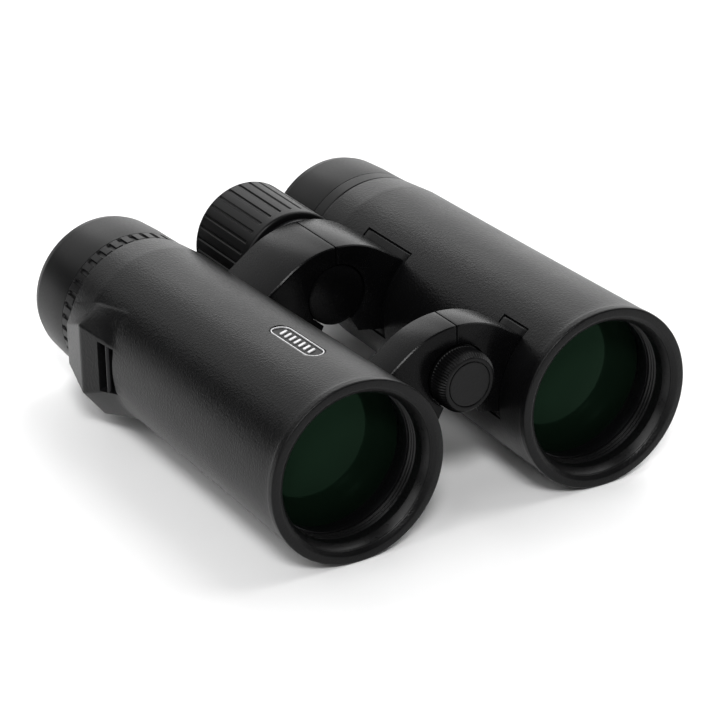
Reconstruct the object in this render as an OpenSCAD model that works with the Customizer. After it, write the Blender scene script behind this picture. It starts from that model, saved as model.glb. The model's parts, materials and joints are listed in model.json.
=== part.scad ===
// Open-bridge roof-prism binoculars, fully opened and lying on the underside of their barrels.
// X runs across the barrels, Y from the objectives (-) to the eyepieces (+), and Z is up.
// The origin is on the resting plane, under the middle of the outline.
// The user's right barrel is on the -X side and carries the dioptre ring.
// Each half is drawn with its optical axis on the Y axis, its objective rim at Y = 0 and the
// hinge towards +X. The left half is the mirror image, apart from the hinge knuckles.

/* [Overall] */
// Distance between the optical axes when fully opened
axis_spacing = 76; // [76:0.1:76.6]
// Length from the objective rims to the eyecup rims, with the eyecups down
total_length = 139.8; // [139.4:0.2:142]
// Height of the hinge axis above the plane of the optical axes
hinge_rise = 12; // [11.9:0.1:12.3]

/* [Barrels] */
// Outside radius of the rubber at the objective rim
rim_r = 25.6; // [25.5:0.05:25.7]
// Radius that the rubber loses with each millimetre behind the rim
taper = 0.0262; // [0.0255:0.0001:0.027]
// Easing of that taper, per square millimetre
taper_easing = 0.00005; // [0.00004:0.00001:0.00006]
// Thickness of the rubber armour
rubber_t = 1.6; // [1.5:0.1:1.7]
// Free radius of the objective mouth
mouth_r = 20.8; // [20.6:0.1:20.9]
// Radius of the barrel where the neck ring starts
neck_joint_r = 22.3; // [22.2:0.05:22.4]
// Outside radius of the eyecup at its rear rim
eyecup_r = 21.2; // [21:0.1:21.3]

/* [Bridges] */
// Radius of the arched top of both bridges, about the middle of the plane of the optical axes
arch_r = 26.4; // [26.2:0.1:26.6]
// Front face of the front bridge, behind the objective rims
front_bridge_y = 12.6; // [12.4:0.1:12.8]
// Length of the front bridge
front_bridge_len = 10.4; // [10.2:0.1:10.6]
// Front face of the rear bridge, behind the objective rims
rear_bridge_y = 73; // [72.8:0.1:73.2]
// Length of the rear bridge
rear_bridge_len = 21.2; // [21:0.1:21.4]
// Width of the dark seam between the two halves
seam_gap = 0.3; // [0.2:0.05:0.4]
// Angle between straight down and the lower end face of each arm
arm_end_angle = 28.5; // [28.2:0.1:30]

/* [Focusing] */
// Outside radius of the focus wheel
wheel_r = 15.9; // [15.7:0.05:15.9]
// Length of the focus wheel
wheel_len = 27.4; // [27:0.1:28]
// Number of grooves round the focus wheel
wheel_grooves = 30; // [24:1:32]
// Number of slots round the dioptre ring
ring_slots = 40; // [32:1:44]
// Ribs round the tripod cap
cap_ribs = 64; // [48:2:72]

/* [Hidden] */

$fn = 96;
eps = 0.01;
// Play between faces of pieces that don't move on each other
fit = 0.05;
// Space between curved faces of pieces that move past each other
play = 0.3;

// Hinge axis in the half's own drawing position
hinge_x = axis_spacing / 2;
hinge_z = hinge_rise;
hinge_reach = sqrt(hinge_x * hinge_x + hinge_z * hinge_z);
hinge_angle = atan2(hinge_z, hinge_x);

// Stations along the barrel, measured from the objective rim
lip_y = 3;
rear_cone_y = 105;
neck_y = 115.8;
neck_end_y = 121;
eyecup_y = 121.2;
eyecup_end_y = total_length;
profile_step = 12.75;
function barrel_r(y) = rim_r - 0.1 - taper * y + taper_easing * y * y;
barrel_stations = [for (i = [0 : 8]) lip_y + i * profile_step];

// Radii from the rubber inwards
lip_inner_r = 23.6;
front_bore_r = 22.3;
main_bore_r = 20.5;
rear_bore_r = 18.5;
neck_r = 19;
neck_bore_r = 17.9;
ring_bore_r = neck_r + 0.08;
sleeve_r = 17.6;
sleeve_bore_r = 16.6;
tube_r = 15.1;
tube_bore_r = 13.5;

// Bores along the barrel
main_bore_y = 26;
rear_bore_y = 103;
neck_bore_y = 109;

// Hinge radii
knuckle_r = 8.8;
shell_bore_r = knuckle_r + play;
hinge_tube_r = 6.15;
hinge_tube_bore_r = 5;
bushing_t = 1.1;
screw_r = 2.5;
tripod_r = 3.175;
insert_r = 4.15;
insert_y = [15.2, 21.8];

// Stretches of the rear hinge, measured from the objective rim
rear_knuckle_a = [74.2, 79];
rear_chamber = [79.2, 88.8];
rear_knuckle_b = [89, 94.2];
front_knuckle_a = [13.2, 17.6];
front_knuckle_b = [17.8, 22.8];
drive_y = 84;
drive_t = 2.4;
drive_h = 4.6;
focus_travel = 2.2;
rod_r = 18.9;

// Windows that the armour leaves round the arm roots, as angles from +X towards +Z
rear_window = [-11, 53];
front_window = [-10, 51.5];
window_margin = 1.3;
window_edge_angle = 0.85;

// Focus wheel
wheel_y = 96.6;
wheel_hub_r = 13.4;
tube_end_y = 111;

// Colours
rubber_black = [0.06, 0.06, 0.065];
satin_black = [0.1, 0.1, 0.105];
deep_black = [0.03, 0.03, 0.03];
metal_grey = [0.55, 0.56, 0.58];
brass_tone = [0.78, 0.64, 0.36];
coated_glass = [0.12, 0.3, 0.18, 0.6];
clear_glass = [0.75, 0.85, 0.85, 0.5];

// ---------- drawing helpers ----------

// A solid of revolution about the Y axis from [radius, y] points
module turned(points) rotate([-90, 0, 0]) rotate_extrude() polygon(points);

// A rod along Y
module rod(r, y0, y1) translate([0, y0, 0]) rotate([-90, 0, 0]) cylinder(r = r, h = y1 - y0);

// A pipe along Y
module pipe(r_out, r_in, y0, y1) difference() {
    rod(r_out, y0, y1);
    rod(r_in, y0 - 1, y1 + 1);
}

// An outline drawn in X and Z, stretched along Y
module along_y(y0, y1) translate([0, y1, 0]) rotate([90, 0, 0]) linear_extrude(y1 - y0) children();

// The part of the plane between two angles from +X towards +Z
module sector(a0, a1, r = 60) {
    steps = ceil((a1 - a0) / 30);
    arc = [for (i = [0 : steps]) let (a = a0 + (a1 - a0) * i / steps) r * [cos(a), sin(a)]];
    polygon(concat([[0, 0]], arc));
}

// A box by its two corners
module block(low, high) translate(low) cube(high - low);

module at_hinge() translate([hinge_x, 0, hinge_z]) children();

// Carries a half, drawn about its own optical axis, to its place
module place(side) mirror([side == "left" ? 1 : 0, 0, 0])
    translate([-hinge_x, -total_length / 2, rim_r]) children();
// Carries what is drawn about the hinge axis to its place
module place_centre() translate([0, -total_length / 2, rim_r + hinge_z]) children();

// How far a spherical face has fallen back at a distance r from the axis; a hollow face falls the other way
function sag(face_r, r) = sign(face_r) * (abs(face_r) - sqrt(face_r * face_r - r * r));
lens_steps = 8;
// A round lens with vertices at y0 and y1. A positive radius bulges outwards, a negative one is hollow.
module lens(r, y0, y1, front_r, back_r) turned(concat(
    [for (i = [0 : lens_steps]) let (x = r * i / lens_steps) [x, y0 + sag(front_r, x)]],
    [for (i = [lens_steps : -1 : 0]) let (x = r * i / lens_steps) [x, y1 - sag(back_r, x)]]
));

// ---------- barrel skins ----------

// Outside of the rubber: rounded rim, easing taper, then the cone down to the neck ring
skin_points = concat(
    [[25.1, 0], [rim_r, 0.5], [rim_r, 1.8], [barrel_r(lip_y), lip_y]],
    [for (i = [1 : 8]) [barrel_r(barrel_stations[i]), barrel_stations[i]]],
    [[neck_joint_r, neck_y]]
);
// Outside of the casting, one rubber thickness lower
core_points = concat(
    [[lip_inner_r - fit, 0.6], [lip_inner_r - fit, 2.4]],
    [for (i = [0 : 8]) [barrel_r(barrel_stations[i]) - rubber_t, barrel_stations[i]]],
    [[neck_joint_r - rubber_t, neck_y]]
);

module armour_windows() {
    along_y(rear_bridge_y - window_margin, rear_bridge_y + rear_bridge_len + 0.4)
        sector(rear_window[0], rear_window[1]);
    along_y(front_bridge_y - 0.2, front_bridge_y + front_bridge_len + window_margin)
        sector(front_window[0], front_window[1]);
}

// Strap lug: three flat-sided sections down the outer side of the barrel, joined by flat facets
lug_rear = [[-23.2, 3], [-23.2, -9], [-18.2, -20.4], [-10, -19], [-10, 10], [-20.5, 8.6]];
lug_ridge = [[-26, 8.5], [-26, -12], [-19.5, -20.2], [-10, -19], [-10, 14], [-19.8, 13]];
lug_front = [[-22.6, 6], [-22.6, -6.5], [-16.5, -16.6], [-10, -15], [-10, 12], [-17.6, 15.4]];
lug_y = [88, 102.5, neck_y - 0.1];

module lug_block() hull() {
    along_y(lug_y[0], lug_y[0] + eps) polygon(lug_front);
    along_y(lug_y[1], lug_y[1] + eps) polygon(lug_ridge);
    along_y(lug_y[2] - eps, lug_y[2]) polygon(lug_rear);
}

// Pocket for a strap 12 mm wide: in through the lug's front facet and back under its ridge
strap_slot_z = [-8, 5.5];
module strap_slot() translate([0, 0, strap_slot_z[0]]) linear_extrude(strap_slot_z[1] - strap_slot_z[0])
    polygon([[-28, 90], [-28, 97.6], [-24.2, 98.4], [-24, 106], [-21.6, 106], [-21.8, 94], [-22.6, 90]]);

// Pill-shaped recess for the badge, a little inboard of the barrel's top
badge_y = 31.3;
badge_angle = 87.3;
badge_half_w = 3.05;
badge_half_l = 11;
badge_tilt = atan(taper - 2 * taper_easing * badge_y);
// Carries an outline lying on the barrel at the badge, between two heights above the rubber
module at_badge(low, high) rotate([0, -badge_angle, 0]) translate([barrel_r(badge_y), badge_y, 0])
    rotate([0, 0, badge_tilt]) translate([low, 0, 0]) rotate([0, 90, 0])
        linear_extrude(high - low) children();
module pill(inset) {
    r = badge_half_w - inset;
    square([2 * r, 2 * (badge_half_l - badge_half_w)], center = true);
    for (s = [-1, 1]) translate([0, s * (badge_half_l - badge_half_w)]) circle(r);
}

module armour(side) color(rubber_black) place(side) difference() {
    union() {
        turned(concat(skin_points, [[10, neck_y], [10, 0]]));
        lug_block();
    }
    turned(concat(
        [[0, -1], [lip_inner_r, -1]],
        [for (p = core_points) p + [fit, 0]],
        [[neck_joint_r - rubber_t + fit, neck_y + 1], [0, neck_y + 1]]
    ));
    armour_windows();
    strap_slot();
    if (side == "right") at_badge(-0.8, 1) pill(0);
}

// ---------- body casting ----------

// One arm: an arched top, a straight flank down to the barrel and a radial end face below the hinge.
// The flank runs in a hair's breadth under the arch, so that the two surfaces cross cleanly.
flank_angle = 35;
flank_r = arch_r * cos(2);
flank_start = flank_r * [-sin(flank_angle), cos(flank_angle)];
flank_end = flank_start + 14 * [-cos(flank_angle), -sin(flank_angle)];
arm_end_r = 13.8;
arm_end = [-arm_end_r * sin(arm_end_angle), hinge_z - arm_end_r * cos(arm_end_angle)];
module arm_outline() difference() {
    union() {
        intersection() {
            circle(arch_r);
            polygon([[0, hinge_z], [0, 40], [-40, 40], [-40, 26.3]]);
        }
        polygon([[0, hinge_z], flank_start, flank_end, [-26, -4], [-14.5, -2.2], arm_end]);
    }
    translate([-seam_gap / 2, 0]) square([10, 40]);
}
module arm(y0, y1) translate([hinge_x, 0, 0]) along_y(y0, y1) arm_outline();

// Pads that fill the armour windows, flush with the rubber
module root_pads() intersection() {
    turned(concat(skin_points - [for (p = skin_points) [0.1, 0]], [[15, neck_y], [15, 0]]));
    union() {
        along_y(rear_bridge_y - window_margin + 0.35, rear_bridge_y + rear_bridge_len)
            sector(rear_window[0] + window_edge_angle, rear_window[1] - window_edge_angle);
        along_y(front_bridge_y + 0.15, front_bridge_y + front_bridge_len + window_margin - 0.35)
            sector(front_window[0] + window_edge_angle, front_window[1] - window_edge_angle);
    }
}

// Turns what is drawn along +X so that it runs from the hinge axis towards the optical axis
module towards_axis() at_hinge() rotate([0, 180 - hinge_angle, 0]) children();

// Channel that lets the focusing arm through the bridge and the tube wall
module drive_channel() {
    half_t = focus_travel + drive_t / 2 + 0.5;
    half_h = drive_h / 2 + 0.4;
    towards_axis() block([0, drive_y - half_t, -half_h], [hinge_reach - rod_r + 3, drive_y + half_t, half_h]);
}

// A knuckle ring with the web that joins it to its own arm's shell
module knuckle(span) {
    rod(knuckle_r, span[0], span[1]);
    along_y(span[0], span[1]) sector(125, 215, shell_bore_r + 0.6);
}

// Hole for the grub screw that holds the hinge tube or pin, from below
grub_r = 1.25;
module grub_hole(span) translate([0, (span[0] + span[1]) / 2, 0]) rotate([0, 180, 0])
    cylinder(r = grub_r + 0.02, h = knuckle_r + 1, $fn = 32);

// The two halves share the hinge: right keeps the front knuckle of each bridge, left the rear one
module body_casting(side) color(satin_black) place(side) {
    rear_own = side == "right" ? rear_knuckle_a : rear_knuckle_b;
    front_own = side == "right" ? front_knuckle_a : front_knuckle_b;
    knuckle_bore = side == "right" ? hinge_tube_r : hinge_tube_r + bushing_t;
    difference() {
        union() {
            turned(concat(core_points,
                [[neck_r, neck_y], [neck_r, neck_end_y], [12, neck_end_y], [12, 0.6]]));
            root_pads();
            difference() {
                union() {
                    arm(rear_bridge_y, rear_bridge_y + rear_bridge_len);
                    arm(front_bridge_y, front_bridge_y + front_bridge_len);
                }
                at_hinge() rod(shell_bore_r, 0, rear_bridge_y + 40);
            }
            at_hinge() {
                knuckle(rear_own);
                knuckle(front_own);
            }
        }
        rod(front_bore_r, 0, main_bore_y);
        rod(main_bore_r, main_bore_y - 1, rear_bore_y);
        rod(rear_bore_r, rear_bore_y - 1, neck_bore_y);
        rod(neck_bore_r, neck_bore_y - 1, neck_end_y + 1);
        at_hinge() rod(knuckle_bore, 0, rear_bridge_y + 40);
        if (side == "right") at_hinge() {
            grub_hole(rear_own);
            grub_hole(front_own);
        }
        drive_channel();
    }
}

// ---------- objective ----------

cell_r = front_bore_r - fit;
lens_r = 21.4;
lens_y = 13;
module objective_cell(side) color(deep_black) place(side) difference() {
    rod(cell_r, 1.1, 24);
    // conical mouth, plain wall, lens seat and rear opening
    turned([[0, 0], [22.2, 0], [22.2, 1.1], [21.9, 1.2], [mouth_r, 3.2], [mouth_r, 9.6], [lens_r + fit, 9.6],
        [lens_r + fit, 21.6], [20, 21.6], [20, 25], [0, 25]]);
    // light-trap grooves between the plain wall and the lens seat
    for (i = [0 : 2]) translate([0, 6.1 + i * 1.15, 0])
        turned([[20, 0], [mouth_r + 0.55, 0.25], [mouth_r + 0.55, 0.6], [20, 0.85]]);
}
module objective_crown(side) color(coated_glass) place(side) lens(lens_r, lens_y, lens_y + 6.8, 92, 68);
module objective_flint(side) color(clear_glass) place(side)
    lens(lens_r, lens_y + 6.85, lens_y + 8.55, -68, 260);
module objective_ring(side) color(deep_black) place(side)
    turned([[lens_r, 9.8], [lens_r, 14.9], [20.9, 14.9], [20.4, 11.2], [20.4, 9.8]]);
module objective_seal(side) color(deep_black) place(side) rotate([-90, 0, 0])
    translate([0, 0, 24.8]) rotate_extrude() translate([front_bore_r - 0.8, 0]) circle(0.75);

// ---------- focusing lens and its drive ----------

focus_cell_y = [52, 60];
focus_cell_r = main_bore_r - play;
focus_lens_r = 13.2;
module focus_cell(side) color(deep_black) place(side) difference() {
    rod(focus_cell_r, focus_cell_y[0], focus_cell_y[1]);
    rod(focus_lens_r - 0.8, focus_cell_y[0] - 1, focus_cell_y[1] + 1);
    rod(focus_lens_r + fit, focus_cell_y[0] + 1.5, focus_cell_y[1] + 1);
}
module focus_lens(side) color(clear_glass) place(side) lens(focus_lens_r, 54.9, 56.7, -74, -110);

// A flat arm from the nut's groove to the barrel, then a rod forward to the focusing cell
nut_groove_r = 3.7;
module drive_arm(side) color(metal_grey) place(side) difference() {
    towards_axis() {
        out = hinge_reach - rod_r;
        block([2.2, drive_y - drive_t / 2, -drive_h / 2], [out + 1.2, drive_y + drive_t / 2, drive_h / 2]);
        block([out - 1.2, focus_cell_y[1] + fit, -drive_h / 2], [out + 1.2, drive_y, drive_h / 2]);
    }
    at_hinge() rod(nut_groove_r + 0.08, drive_y - 4, drive_y + 4);
}

// ---------- prisms ----------

cage_y = [66, 101];
cage_r = 17.2;
pocket_w = 22;
pocket_h = 25;
module prism_cage(side) color(deep_black) place(side) difference() {
    union() {
        rod(cage_r, cage_y[0], cage_y[1]);
        rod(main_bore_r - fit, cage_y[0], cage_y[0] + 2.5);
        rod(main_bore_r - fit, cage_y[1] - 2.5, cage_y[1]);
    }
    block([-pocket_w / 2, cage_y[0] + 2.5, -pocket_h / 2], [pocket_w / 2, cage_y[1] - 2.5, pocket_h / 2]);
    rod(9.2, cage_y[0] - 1, cage_y[1] + 1);
    rotate([0, -hinge_angle, 0]) block([cage_r + 0.1, cage_y[0] - 1, -drive_h / 2 - 0.5],
        [main_bore_r + 1, cage_y[0] + 4, drive_h / 2 + 0.5]);
}

prism_y = 72;
prism_w = 20;
prism_h = 12.2;
entry_h = 9.5;
module prism_side(points) translate([-prism_w / 2, prism_y, 0]) rotate([90, 0, 90]) linear_extrude(prism_w)
    polygon(points);
module entry_prism(side) color(clear_glass) place(side)
    prism_side([[0, entry_h], [0, -entry_h], [6.5, -prism_h], [entry_h + prism_h, -prism_h]]);

// The roof prism is a 45 degree triangle whose long back carries a 90 degree roof
roof_base = [23.2, -prism_h];
roof_leg = 2 * prism_h;
module roof_prism(side) color(clear_glass) place(side) intersection() {
    prism_side([roof_base, roof_base + [0, roof_leg], roof_base + roof_leg * [-sin(45), cos(45)]]);
    translate([0, prism_y + roof_base[0], roof_base[1] + roof_leg]) rotate([22.5, 0, 0]) rotate([90, 0, 0])
        linear_extrude(60, center = true) polygon([[0, 0], [12, -12], [12, -40], [-12, -40], [-12, -12]]);
}

// ---------- eyepiece ----------

tube_rim_y = 131;
module eyepiece_tube(side) color(deep_black) place(side) turned([
    [rear_bore_r - fit, rear_bore_y + 0.2], [rear_bore_r - fit, neck_bore_y - 0.2],
    [tube_r, neck_bore_y - 0.2], [tube_r, tube_rim_y], [tube_bore_r, tube_rim_y],
    [tube_bore_r, rear_bore_y + 3], [8.5, rear_bore_y + 3], [9.2, rear_bore_y + 0.2]]);
field_cell_y = [110, 120];
module field_cell(side) color(metal_grey) place(side)
    pipe(tube_bore_r - fit, 11.6, field_cell_y[0], field_cell_y[1]);
module field_lens(side) color(clear_glass) place(side) lens(11.55, 112, 118.5, 40, 26);
module eye_lens(side) color(coated_glass) place(side) lens(tube_bore_r - fit, 123, 129.8, 30, 60);
module eye_lens_ring(side) color(deep_black) place(side) pipe(tube_bore_r - 0.02, 12, 128.7, 131.2);

module eyecup_guide(side) color(metal_grey) place(side)
    pipe(sleeve_bore_r - 0.15, tube_r + 0.15, 112.5, 116.5);
module eyecup_sleeve(side) color(satin_black) place(side)
    pipe(sleeve_r, sleeve_bore_r, 109.6, eyecup_end_y - 1.8);
module eyecup_rubber(side) color(rubber_black) place(side) turned([
    [sleeve_r + 0.02, eyecup_y], [21.95, eyecup_y], [21.75, eyecup_y + 9],
    [eyecup_r + 0.05, eyecup_end_y - 2.6], [eyecup_r - 0.1, eyecup_end_y - 1.2], [20.7, eyecup_end_y - 0.3],
    [19.9, eyecup_end_y], [17.2, eyecup_end_y], [16, eyecup_end_y - 0.5], [15.6, eyecup_end_y - 1.2],
    [16, eyecup_end_y - 1.75], [sleeve_r + 0.02, eyecup_end_y - 1.75]]);

module ring_blank() turned([[ring_bore_r, neck_y + 0.15], [22.05, neck_y + 0.15], [ring_r, neck_y + 0.4],
    [22, neck_end_y], [ring_bore_r, neck_end_y]]);
module left_neck_ring() color(rubber_black) place("left") ring_blank();
slot_w = 1.1;
slot_depth = 0.6;
slot_end_y = 119.6;
ring_r = 22.2;
module dioptre_ring() color(rubber_black) place("right") difference() {
    ring_blank();
    for (i = [0 : ring_slots - 1]) rotate([0, i * 360 / ring_slots, 0]) {
        block([ring_r - slot_depth, neck_y - 1, -slot_w / 2], [24, slot_end_y - slot_w / 2, slot_w / 2]);
        translate([ring_r - slot_depth, slot_end_y - slot_w / 2, 0]) rotate([0, 90, 0])
            cylinder(r = slot_w / 2, h = 3, $fn = 24);
    }
}

// ---------- hinge, drawn about the hinge axis ----------

// Windows let the focusing arms reach the nut: a small one on the right, and on the left one
// wide enough for the arm to swing with the left half
module hinge_tube() color(metal_grey) place_centre() difference() {
    rod(hinge_tube_r - 0.02, rear_knuckle_a[0], tube_end_y);
    rod(hinge_tube_bore_r, rear_knuckle_a[0] - 1, tube_end_y + 1);
    along_y(rear_chamber[0] + 0.3, rear_chamber[1] - 0.3) {
        sector(166, 229, 12);
        sector(-104, 14, 12);
    }
}
module front_hinge_pin() color(metal_grey) place_centre() difference() {
    rod(hinge_tube_r - 0.02, front_knuckle_a[0], front_knuckle_b[1]);
    rod(insert_r + fit, front_knuckle_a[0] - 1, insert_y[1] + 0.2);
}
// The bushings sit in the left knuckles and turn on the tube and the pin
module hinge_bushings() color(brass_tone) place_centre() {
    for (span = [rear_knuckle_b, front_knuckle_b])
        pipe(hinge_tube_r + bushing_t - 0.02, hinge_tube_r + 0.03, span[0] + 0.1, span[1] - 0.1);
}
// A shallow dome with a spigot that plugs the front of the hinge tube
dome_r = 45;
dome_edge_r = knuckle_r - 0.1;
function dome_y(r) = rear_bridge_y - 0.6 + dome_r - sqrt(dome_r * dome_r - r * r);
module hinge_cap() color(satin_black) place_centre() turned(concat(
    [for (i = [0 : 8]) [i * dome_edge_r / 8, dome_y(i * dome_edge_r / 8)]],
    [[dome_edge_r, rear_bridge_y + 1], [hinge_tube_bore_r - 0.02, rear_bridge_y + 1],
        [hinge_tube_bore_r - 0.02, rear_bridge_y + 5], [0, rear_bridge_y + 5]]
));
module wheel_collar() color(satin_black) place_centre()
    pipe(14.2, hinge_tube_r, rear_bridge_y + rear_bridge_len + 0.35, wheel_y - 0.2);

// ---------- focus wheel and drive screw ----------

module focus_wheel() color(satin_black) place_centre() difference() {
    rod(wheel_hub_r, wheel_y, wheel_y + wheel_len - 2.2);
    rod(hinge_tube_r + 0.03, wheel_y - 1, tube_end_y + 0.5);
    rod(screw_r + 0.02, wheel_y, wheel_y + wheel_len + 1);
    rod(11.6, wheel_y + wheel_len - 3.6, wheel_y + wheel_len);
}
groove_w = 0.7;
groove_depth = 0.4;
module wheel_grip() color(rubber_black) place_centre() difference() {
    turned([[wheel_hub_r + 0.02, wheel_y], [wheel_r - 0.5, wheel_y], [wheel_r, wheel_y + 0.5],
        [wheel_r, wheel_y + wheel_len - 1], [wheel_r - 1, wheel_y + wheel_len], [12.4, wheel_y + wheel_len],
        [12.4, wheel_y + wheel_len - 2.15], [wheel_hub_r + 0.02, wheel_y + wheel_len - 2.15]]);
    for (i = [0 : wheel_grooves - 1]) rotate([0, i * 360 / wheel_grooves, 0])
        block([wheel_r - groove_depth, wheel_y + 3, -groove_w / 2],
            [wheel_r + 1, wheel_y + wheel_len + 1, groove_w / 2]);
}
wheel_end_y = wheel_y + wheel_len;
module wheel_cap() color(satin_black) place_centre() turned([
    [0, wheel_end_y - 3.55], [11.5, wheel_end_y - 3.55], [11.5, wheel_end_y - 1.2],
    [10.9, wheel_end_y - 0.7], [0, wheel_end_y - 0.7]]);
module focus_screw() color(metal_grey) place_centre()
    rod(screw_r, rear_chamber[0] - 0.6, wheel_end_y - 3.6);
module focus_nut() color(brass_tone) place_centre() difference() {
    rod(hinge_tube_bore_r - 0.06, drive_y - 2.4, drive_y + 2.4);
    rod(screw_r + 0.05, drive_y - 4, drive_y + 4);
    pipe(8, nut_groove_r, drive_y - drive_t / 2 - 0.05, drive_y + drive_t / 2 + 0.05);
}

// ---------- tripod socket and its cap ----------

module tripod_insert() color(brass_tone) place_centre() pipe(insert_r, tripod_r, insert_y[0], insert_y[1]);
cap_back_y = 12.35;
cap_face_y = 6.6;
cap_r = 8.6;
module tripod_cap() color(satin_black) place_centre() difference() {
    union() {
        turned([[0, cap_face_y], [6.9, cap_face_y], [7.6, cap_face_y + 0.35], [cap_r - 0.1, cap_face_y + 1.7],
            [cap_r, cap_back_y], [0, cap_back_y]]);
        rod(insert_r - 0.03, cap_back_y - 1, insert_y[0] - 0.25);
    }
    rod(6.3, cap_face_y - 1, cap_face_y + 0.8);
    for (i = [0 : cap_ribs - 1]) rotate([0, i * 360 / cap_ribs, 0])
        block([cap_r - 0.35, cap_face_y - 1, -0.19], [cap_r + 1, cap_back_y - 0.6, 0.19]);
}
module tripod_cap_disc() color(rubber_black) place_centre() rod(6.1, cap_face_y + 0.05, cap_face_y + 0.8);

// ---------- small pieces ----------

// A pill-shaped plate with a raised border and a row of slanting bars
badge_bars = 7;
module badge() color(satin_black) place("right") {
    at_badge(-0.78, -0.4) pill(0.12);
    at_badge(-0.45, -0.12) difference() {
        pill(0.12);
        pill(0.5);
    }
    at_badge(-0.45, -0.2) for (i = [1 : badge_bars])
        translate([0, (i - (badge_bars + 1) / 2) * 2.4]) rotate(-25) square([3, 0.7], center = true);
}

// A grub screw in each right-hand knuckle holds the hinge tube and the front hinge pin
module grub_screws() color(metal_grey) place_centre() for (span = [rear_knuckle_a, front_knuckle_a])
    translate([0, (span[0] + span[1]) / 2, 0]) rotate([0, 180, 0]) difference() {
        translate([0, 0, hinge_tube_r + 0.02]) cylinder(r = grub_r, h = 2.2, $fn = 32);
        translate([0, 0, hinge_tube_r + 1.2]) cylinder(r = 0.65, h = 3, $fn = 6);
    }

// ---------- nodes ----------

body_casting("right");  // right_body
armour("right");  // right_armour
objective_cell("right");  // right_objective_cell
objective_crown("right");  // right_objective_crown
objective_flint("right");  // right_objective_flint
objective_ring("right");  // right_objective_ring
objective_seal("right");  // right_objective_seal
focus_cell("right");  // right_focus_cell
focus_lens("right");  // right_focus_lens
drive_arm("right");  // right_drive_arm
prism_cage("right");  // right_prism_cage
entry_prism("right");  // right_entry_prism
roof_prism("right");  // right_roof_prism
eyepiece_tube("right");  // right_eyepiece_tube
field_cell("right");  // right_field_cell
field_lens("right");  // right_field_lens
eye_lens("right");  // right_eye_lens
eye_lens_ring("right");  // right_eye_lens_ring
eyecup_guide("right");  // right_eyecup_guide
eyecup_sleeve("right");  // right_eyecup_sleeve
eyecup_rubber("right");  // right_eyecup_rubber
dioptre_ring();
body_casting("left");  // left_body
armour("left");  // left_armour
objective_cell("left");  // left_objective_cell
objective_crown("left");  // left_objective_crown
objective_flint("left");  // left_objective_flint
objective_ring("left");  // left_objective_ring
objective_seal("left");  // left_objective_seal
focus_cell("left");  // left_focus_cell
focus_lens("left");  // left_focus_lens
drive_arm("left");  // left_drive_arm
prism_cage("left");  // left_prism_cage
entry_prism("left");  // left_entry_prism
roof_prism("left");  // left_roof_prism
eyepiece_tube("left");  // left_eyepiece_tube
field_cell("left");  // left_field_cell
field_lens("left");  // left_field_lens
eye_lens("left");  // left_eye_lens
eye_lens_ring("left");  // left_eye_lens_ring
eyecup_guide("left");  // left_eyecup_guide
eyecup_sleeve("left");  // left_eyecup_sleeve
eyecup_rubber("left");  // left_eyecup_rubber
left_neck_ring();
hinge_tube();
front_hinge_pin();
hinge_bushings();
hinge_cap();
wheel_collar();
focus_wheel();
wheel_grip();
wheel_cap();
focus_screw();
focus_nut();
tripod_insert();
tripod_cap();
tripod_cap_disc();
badge();
grub_screws();
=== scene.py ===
"""Looks of a pair of open-bridge binoculars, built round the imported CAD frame.

Shapes are drawn in millimetres in the part's own drawing positions and carried to the frame by a matrix.
A half has its optical axis on Y, its objective rim at Y = 0 and the hinge towards +X, and the left half is
its mirror image. Pieces on the hinge are drawn about the hinge axis. Angles run from +X towards +Z.
"""

import json
import math

import bmesh
import bpy
from mathutils import Matrix, Vector


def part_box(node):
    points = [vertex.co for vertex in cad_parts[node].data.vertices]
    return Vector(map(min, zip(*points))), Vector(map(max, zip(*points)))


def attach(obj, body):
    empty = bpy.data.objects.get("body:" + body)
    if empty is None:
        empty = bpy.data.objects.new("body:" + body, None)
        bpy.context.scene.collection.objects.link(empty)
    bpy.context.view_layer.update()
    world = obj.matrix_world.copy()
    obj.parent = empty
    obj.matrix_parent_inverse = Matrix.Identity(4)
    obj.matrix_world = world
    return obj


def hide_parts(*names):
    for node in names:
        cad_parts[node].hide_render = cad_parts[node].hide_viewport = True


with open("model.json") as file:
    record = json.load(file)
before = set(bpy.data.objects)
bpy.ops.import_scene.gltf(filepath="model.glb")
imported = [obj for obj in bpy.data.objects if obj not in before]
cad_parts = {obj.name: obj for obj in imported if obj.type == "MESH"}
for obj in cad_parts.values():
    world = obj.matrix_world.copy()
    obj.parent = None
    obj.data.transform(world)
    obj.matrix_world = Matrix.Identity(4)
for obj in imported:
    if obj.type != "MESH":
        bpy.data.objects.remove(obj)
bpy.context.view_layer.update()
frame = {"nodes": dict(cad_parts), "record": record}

# ---------- places, from the frame ----------

MM = 0.001
SIDES = ("right", "left")


def middle(node):
    low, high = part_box(node)
    return (low + high) / 2


AXIS_X = middle("left_eyepiece_tube").x
AXIS_Z = middle("left_eyepiece_tube").z
HINGE_Z = middle("hinge_tube").z
RIM_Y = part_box("left_armour")[0].y
END_Y = (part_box("left_eyecup_rubber")[1].y - RIM_Y) / MM
HINGE_AT = (AXIS_X / MM, (HINGE_Z - AXIS_Z) / MM)


def half_matrix(side):
    across = -1 if side == "left" else 1
    return Matrix.Translation((-across * AXIS_X, RIM_Y, AXIS_Z)) @ Matrix.Diagonal((across * MM, MM, MM, 1))


CENTRE = Matrix.Translation((0, RIM_Y, HINGE_Z)) @ Matrix.Diagonal((MM, MM, MM, 1))

# ---------- driving sizes, in millimetres ----------

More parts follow.
